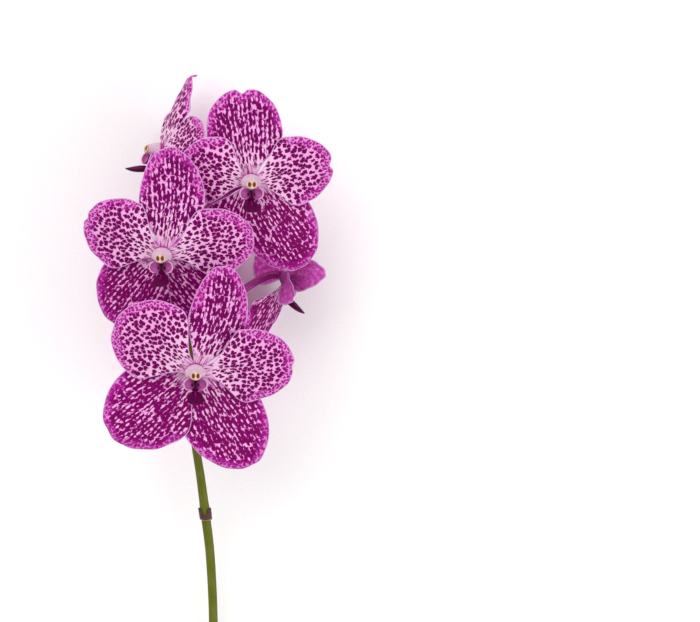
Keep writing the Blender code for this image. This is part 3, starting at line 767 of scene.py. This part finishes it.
def model_front_lobe():
    """The fleshy front lobe: a blunt tongue with three keels, hollowed to both sides of the middle one."""
    piece = ball((0, 0, 0), FRONT_LOBE_HALF_SIZES, 64, 40)
    points = vertices(piece)
    x, y, z = points.T
    half_x, half_y, half_z = FRONT_LOBE_HALF_SIZES
    share = (z + half_z) / (2 * half_z)
    keels = sum(part * np.exp(-((np.abs(x) - off) / half) ** 2) for off, half, part in KEELS)
    top = np.clip(y / half_y, 0, 1) ** 0.5
    points[:, 1] = y + top * KEEL_HEIGHT * (keels - KEEL_DIP) * np.sin(share * math.pi) ** 0.5
    points[:, 0] = x * (0.85 + 0.25 * share)
    points[:, 1] *= 1.2 - 0.65 * share
    depth, half_width, start = TIP_CLEFT
    points[:, 2] = z - depth * np.exp(-(x / half_width) ** 2) * np.clip((share - start) / (1 - start), 0, 1)
    points[:, 1] += TIP_LIFT[0] * np.clip(share - TIP_LIFT[1], 0, 1) ** 2
    turn = np.array(Matrix.Rotation(math.radians(FRONT_LOBE_PITCH), 3, "X"))
    move_vertices(piece, points @ turn.T + FRONT_LOBE_MIDDLE)
    # A magenta streak along the top of the middle keel near its base: partly the keel's own colour and partly
    # painted highlight
    write_attribute(piece, "mark", np.exp(-(x / 0.6) ** 2) * top * np.clip(1.6 - 1.8 * share, 0, 1))
    return piece


def copy_to(bloom, model, name, node, finish):
    """A copy of a modelled part with its own mesh, set in a flower."""
    piece = bpy.data.objects.new(name, model.data.copy())
    bpy.context.scene.collection.objects.link(piece)
    axes = bloom_axes(bloom)
    spin = Matrix([[*axes[:, k]] for k in range(3)]).to_4x4()
    piece.data.transform(Matrix.Translation(Vector(bloom.centre) * MM) @ spin)
    hand_over(piece, name, [node], [finish])


def smooth_route(points, step):
    """Points along a Catmull-Rom curve through the given ones, about one step apart."""
    points = np.array(points, float)
    padded = np.concatenate([[2 * points[0] - points[1]], points, [2 * points[-1] - points[-2]]])
    route = []
    for a, b, c, d in zip(padded, padded[1:], padded[2:], padded[3:]):
        pieces = max(1, round(float(np.linalg.norm(c[:3] - b[:3])) / step))
        for k in range(pieces):
            t = k / pieces
            route.append(0.5 * (2 * b + (c - a) * t + (2 * a - 5 * b + 4 * c - d) * t ** 2
                                + (3 * b - a - 3 * c + d) * t ** 3))
    return np.array(route + [points[-1]])


def stem_at(y):
    """Centre and radius of the stem at a place along the spike."""
    route = np.array(STEM_ROUTE)
    return np.array([np.interp(y, route[:, 1], route[:, k]) for k in range(4)])


def roll_tube(route, radii, sides, ends=None, ribs=0, depth=0.0, turn=0.0):
    """A grid rolled round a route into a tube, its seam merged and its ends filled."""
    piece, round_place, along = flat_grid(sides, len(route) - 1)
    ring = np.round(along * (len(route) - 1)).astype(int)
    tangents = np.gradient(route, axis=0)
    if ends is not None:
        tangents[0], tangents[-1] = ends
    across = [unit(np.cross(tangents[0], (0.3, 0.2, 1.0)))]
    for tangent in tangents:
        tangent = unit(tangent)
        across.append(unit(across[-1] - tangent * across[-1].dot(tangent)))
    across = np.array(across[1:])
    tangents = tangents / np.linalg.norm(tangents, axis=1, keepdims=True)
    other = np.cross(tangents, across)
    angle = -2 * math.pi * (round_place + 0.5)
    start = math.radians(turn) * ring / (len(route) - 1)
    r = (np.asarray(radii)[ring] * (1 + depth * np.cos(ribs * angle)))[:, None]
    points = route[ring] + r * (across[ring] * np.cos(angle + start)[:, None]
                                + other[ring] * np.sin(angle + start)[:, None])
    length = np.concatenate([[0], np.cumsum(np.linalg.norm(np.diff(route, axis=0), axis=1))])[ring]
    write_attribute(piece, "sleeve", np.stack([length, 2 * np.cos(angle), 2 * np.sin(angle)], axis=1))
    move_vertices(piece, points)
    bpy.ops.object.mode_set(mode="EDIT")
    bpy.ops.mesh.select_all(action="SELECT")
    bpy.ops.mesh.remove_doubles(threshold=SEAM)
    bpy.ops.mesh.select_all(action="DESELECT")
    bpy.ops.mesh.select_mode(type="EDGE")
    bpy.ops.mesh.select_non_manifold()
    bpy.ops.mesh.edge_face_add()
    bpy.ops.mesh.select_mode(type="VERT")
    bpy.ops.mesh.select_all(action="SELECT")
    bpy.ops.mesh.normals_make_consistent(inside=False)
    bpy.ops.object.mode_set(mode="OBJECT")
    return piece


def make_stem():
    """The green stalk with its swollen nodes, and a slanting cut at its lower end."""
    route = smooth_route(STEM_ROUTE, STEM_STEP)
    radii = route[:, 3].copy()
    for node_y in [bloom.node for bloom in BLOOMS] + [SHEATH_PLACE + 2]:
        radii += NODE_SWELL * np.exp(-((route[:, 1] - node_y) / NODE_LENGTH) ** 2)
    piece = roll_tube(route[:, :3], radii, STEM_SIDES)
    points = vertices(piece)
    first = points[:, 1] < STEM_ROUTE[0][1] + 0.4
    points[first, 1] += CUT_SLANT * (points[first, 2] / (2 * STEM_ROUTE[0][3]) - 0.5)
    points[:, 2] = np.maximum(points[:, 2], 0)
    move_vertices(piece, points)
    hand_over(piece, "stalk", ["stem"], [STEM_SKIN])


def make_sheath():
    """The papery scale round a node, notched in front."""
    piece, side, rows = flat_grid(SHEATH_COLUMNS, SHEATH_ROWS)
    wrap = math.radians(SHEATH_WRAP) * side
    notch = SHEATH_NOTCH[0] * np.exp(-(wrap / SHEATH_NOTCH[1]) ** 2)
    notch = notch + SHEATH_FALL[0] * (np.abs(wrap) / SHEATH_FALL[1]) ** 2
    ragged = SHEATH_RAGS[0] * np.sin(SHEATH_RAGS[1] * wrap + 1) * rows
    along = SHEATH_PLACE + SHEATH_LENGTH * (rows * (1 - notch + ragged) - SHEATH_FOOT)
    middle = stem_at(SHEATH_PLACE)
    slope = (stem_at(SHEATH_PLACE + 10) - stem_at(SHEATH_PLACE - 10)) / 20
    pleats = SHEATH_PLEATS[0] * np.cos(SHEATH_PLEATS[1] * wrap) * rows
    radius = middle[3] + NODE_SWELL + SHEATH_CLEARANCE + SHEATH_FLARE * rows + pleats
    x = middle[0] + slope[0] * (along - SHEATH_PLACE) + radius * np.sin(wrap)
    z = middle[2] + slope[2] * (along - SHEATH_PLACE) + radius * np.cos(wrap)
    move_vertices(piece, np.stack([x, along - slope[2] * (z - middle[2]), z], axis=1))
    write_attribute(piece, "mark", np.clip(1 - rows * SHEATH_LENGTH / 0.9, 0, 1))
    apply_modifier(piece, "SOLIDIFY", thickness=SHEATH_WALL * MM, offset=0.0)
    hand_over(piece, "papery_scale", ["sheath_bract"], [SHEATH_PAPER])


def stalk_foot(bloom):
    """Where a flower's stalk starts on the stem, the way out from it, the stem's grain and the far end."""
    end = place(bloom, [(0, 0, HUB_BACK - GAP)])[0]
    root = stem_at(bloom.node)
    grain = unit((stem_at(bloom.node + NODE_REACH) - stem_at(bloom.node - NODE_REACH))[:3])
    away = end - root[:3]
    away = unit(away - grain * away.dot(grain))
    return root[:3] + away * (root[3] + NODE_SWELL + GAP), away, grain, end


def make_pedicel(bloom):
    """The ribbed flower stalk, thicker at the ovary, its ribs winding half round."""
    forward = bloom_axes(bloom)[2]
    start, away, grain, end = stalk_foot(bloom)
    first = start + away * PEDICEL_NECK * 0.5 + grain * PEDICEL_NECK
    last = end - forward * PEDICEL_NECK
    t = np.linspace(0, 1, PEDICEL_STEPS + 1)[:, None]
    route = (1 - t) ** 3 * start + 3 * t * (1 - t) ** 2 * first + 3 * t ** 2 * (1 - t) * last + t ** 3 * end
    share = t[:, 0]
    radii = PEDICEL_RADIUS[0] + (PEDICEL_RADIUS[1] - PEDICEL_RADIUS[0]) * np.sin(share * math.pi / 2)
    piece = roll_tube(route, radii, PEDICEL_SIDES, (away, forward), PEDICEL_RIBS, PEDICEL_RIB_DEPTH,
                      PEDICEL_TURN)
    hand_over(piece, bloom.name + "_stalk", [bloom.name + "_pedicel"], [PEDICEL_SKIN_PAINTED_SHEEN])


def make_floral_bract(bloom):
    """A small pointed scale that clasps the foot of a flower's stalk."""
    foot, away, grain, _ = stalk_foot(bloom)
    along = unit(0.5 * away + grain)
    outer = unit(away - along * away.dot(along))
    beside = np.cross(along, outer)
    piece, side, t = flat_grid(BRACT_COLUMNS, BRACT_ROWS)
    clasp = math.radians(BRACT_WRAP) * side * (1 - t) ** 0.6
    radius = PEDICEL_RADIUS[0] + BRACT_CLEARANCE + BRACT_SPREAD * t ** 2
    points = foot + np.outer(BRACT_LENGTH * t, along)
    points += np.outer(radius * np.cos(clasp), outer) + np.outer(radius * np.sin(clasp), beside)
    move_vertices(piece, points)
    write_attribute(piece, "mark", t ** 2)
    apply_modifier(piece, "SOLIDIFY", thickness=SHEATH_WALL * MM, offset=0.0)
    hand_over(piece, bloom.name + "_floral_bract", ["stem"], [BRACT_PAPER])


# Tepals: thick living tissue under a thin dull wax, so broad soft light and hardly any gloss. Their spots
# are pigment in the cells between the veins, so they end softly
TEPAL_FINISHES = {
    "petal": tepal_front("petal_tessellated", Spotting(
        wall=-0.01, edge_wall=0.03, base_wall=0.14, net_share=1.0, speck=-0.5, speck_change=0.0, fringe=0.3,
        deep="#600248", ground="#760858", pale="#d898c6")),
    "dorsal": tepal_front("dorsal_sepal_specked", Spotting(
        wall=-0.16, edge_wall=0.0, base_wall=0.17, net_share=0.9, speck=0.11, speck_change=0.26, fringe=0.45,
        deep="#62024a", ground="#760858", pale="#dc9ccc")),
    "sepal": tepal_front("lateral_sepal_specked", Spotting(
        wall=-0.2, edge_wall=-0.05, base_wall=0.1, net_share=0.85, speck=0.06, speck_change=0.28,
        fringe=0.75, deep="#700252", ground="#840868", pale="#e8a8d6")),
    "back": tepal_back("tepal_back_mauve", ("#bc40a4", "#ca54b4", "#de7cca"), "#a03090", 0.25),
    # A copy of the back with lighter tones: painted light, for a back that lies in shade
    "painted_lit_back": tepal_back("tepal_back_painted_lighter", ("#dc46c2", "#e65cca", "#f29ae0"), "#bc2ea6", 0.6),
}
# Receptacle, column and anther cap: smooth waxy flesh with a soft sheen. The cap's hollows are brown inside
RECEPTACLE_FLESH = marked_flesh("receptacle_magenta", ("#a0207c", "#b23a90"), "#a04890", 0.45, 0.2)
COLUMN_FLESH = marked_flesh("column_waxy_pink", ("#bd98b0", "#d0b6c4"), "#b070a0", 0.4, 0.2, (0.3, 1.0))
CAP_FLESH = marked_flesh("anther_cap_cream", ("#cfa684", "#d8bca4"), "#6a2c18", 0.5, 0.15, (0.3, 0.62))
# Lip: firm flesh. The side lobes are mauve with a paler rim and darker towards the middle, partly the
# throat's own dark tone and partly painted shade under the column, and the tongue is velvety, so almost
# black-purple with no shine
LOBE_FLESH = marked_flesh("lip_lobe_mauve", ("#b2489a", "#c870b4"), "#d8a0c8", 0.4, 0.2, (0.6, 0.9),
                          deep="#50003a")
TONGUE_FLESH = marked_flesh("lip_tongue_purple", ("#48002f", "#560340"), "#8c1470", 0.5, 0.25, (0.3, 1.0),
                            specular=0.06)
# Stalks: living skin, satin, with fine ribs along it. The stem is olive with darker lines, and the flower
# stalks are mauve with paler lines on their ribs that are painted highlights
STEM_SKIN = stalk_skin("stem_green_skin", ("#4e5704", "#5a6009", "#656428"), "#3d430a", 0.5,
                       (0.12, 3.0, 3.0))
PEDICEL_SKIN_PAINTED_SHEEN = stalk_skin("pedicel_mauve_skin", ("#8c1a72", "#98267e", "#a83c8e"), "#c884b8", 0.42,
                          (0.12, 2.6, 2.6))
# Bracts: dead dry scales like thin paper, dull and uneven in tone
BRACT_PAPER = marked_flesh("bract_dry_paper", ("#6f6030", "#8a7d44"), "#b3a672", 0.62, 0.5)
SHEATH_PAPER = marked_flesh("sheath_withered_brown", ("#43262a", "#5c3a38"), "#a8907a", 0.6, 0.5)


make_stem()
make_sheath()
receptacle = model_receptacle()
column = model_column()
cap = model_cap()
side_lobes = {"left": model_side_lobe(-1), "right": model_side_lobe(1)}
throat = model_throat()
front_lobe = model_front_lobe()
for number, bloom in enumerate(BLOOMS):
    make_pedicel(bloom)
    make_floral_bract(bloom)
    for order, tepal in enumerate(bloom.tepals):
        make_tepal(bloom, tepal, 5 * number + order)
    copy_to(bloom, receptacle, bloom.name + "_receptacle", bloom.name + "_tepals", RECEPTACLE_FLESH)
    copy_to(bloom, column, bloom.name + "_column_body", bloom.name + "_column", COLUMN_FLESH)
    copy_to(bloom, cap, bloom.name + "_anther", bloom.name + "_anther_cap", CAP_FLESH)
    lip = bloom.name + "_lip"
    for side, lobe in side_lobes.items():
        copy_to(bloom, lobe, f"{lip}_{side}_lobe", lip, LOBE_FLESH)
    copy_to(bloom, throat, lip + "_throat", lip, TONGUE_FLESH)
    copy_to(bloom, front_lobe, lip + "_front_lobe", lip, TONGUE_FLESH)
for model in (receptacle, column, cap, throat, front_lobe, *side_lobes.values()):
    bpy.data.objects.remove(model, do_unlink=True)

# Camera straight above, as far back as a long lens needs for the photograph's 350 mm wide frame
FRAME_MIDDLE = (71.25, 63.25)
FRAME_WIDTH = 350.0
FRAME_LEVEL = 60.0         # height at which the frame has that width
CAMERA_HEIGHT = 4000.0
SENSOR_WIDTH = 36.0
camera = bpy.data.objects.new("camera", bpy.data.cameras.new("camera"))
bpy.context.scene.collection.objects.link(camera)
camera.location = (FRAME_MIDDLE[0] * MM, FRAME_MIDDLE[1] * MM, CAMERA_HEIGHT * MM)
camera.data.sensor_width = SENSOR_WIDTH
camera.data.lens = SENSOR_WIDTH * (CAMERA_HEIGHT - FRAME_LEVEL) / FRAME_WIDTH
camera.data.clip_end = 20.0
bpy.context.scene.camera = camera
bpy.context.scene.view_settings.view_transform = "Standard"

# Floor: pale uncoated paper without a seam, dull and very even
deselect()
bpy.ops.mesh.primitive_plane_add(size=12.0, location=(0, 0, 0))
floor = bpy.context.object
floor.name = "floor"
paper, paper_tree, paper_shader = new_material("floor_paper", roughness=0.9)
fibres = add(paper_tree, "TexCoord", output="Object")
fibres = add(paper_tree, "TexNoise", {"Vector": fibres, "Scale": FIBRE_RATE, "Detail": 3.0})
fibres = add(paper_tree, "ValToRGB", [fibres], stops=[(0.3, "#f1f0ef"), (0.7, "#f6f5f4")])
paper_tree.links.new(fibres, paper_shader.inputs["Base Color"])
floor.data.materials.append(paper)

# A wide softbox above the tip of the spike, a smaller one that fills its shadows, and an even white room.
# The boxes' sizes and places are in metres, and their power is in watts
for name, size, power, stand, aim in (
    ("softbox", 2.0, 25.0, (-0.9, 1.2, 1.5), (0.0, 0.05, 0.06)),
    ("fill_softbox", 1.2, 9.0, (1.1, -0.5, 0.9), (0.0, 0.08, 0.04)),
):
    light = bpy.data.objects.new(name, bpy.data.lights.new(name, "AREA"))
    bpy.context.scene.collection.objects.link(light)
    light.data.shape = "SQUARE"
    light.data.size = size
    light.data.energy = power
    light.location = stand
    light.rotation_euler = (Vector(aim) - light.location).to_track_quat("-Z", "Y").to_euler()
room = bpy.data.worlds.new("room")
bpy.context.scene.world = room
room.use_nodes = True
room.node_tree.nodes["Background"].inputs["Color"].default_value = (1.0, 1.0, 1.0, 1.0)
room.node_tree.nodes["Background"].inputs["Strength"].default_value = 0.85
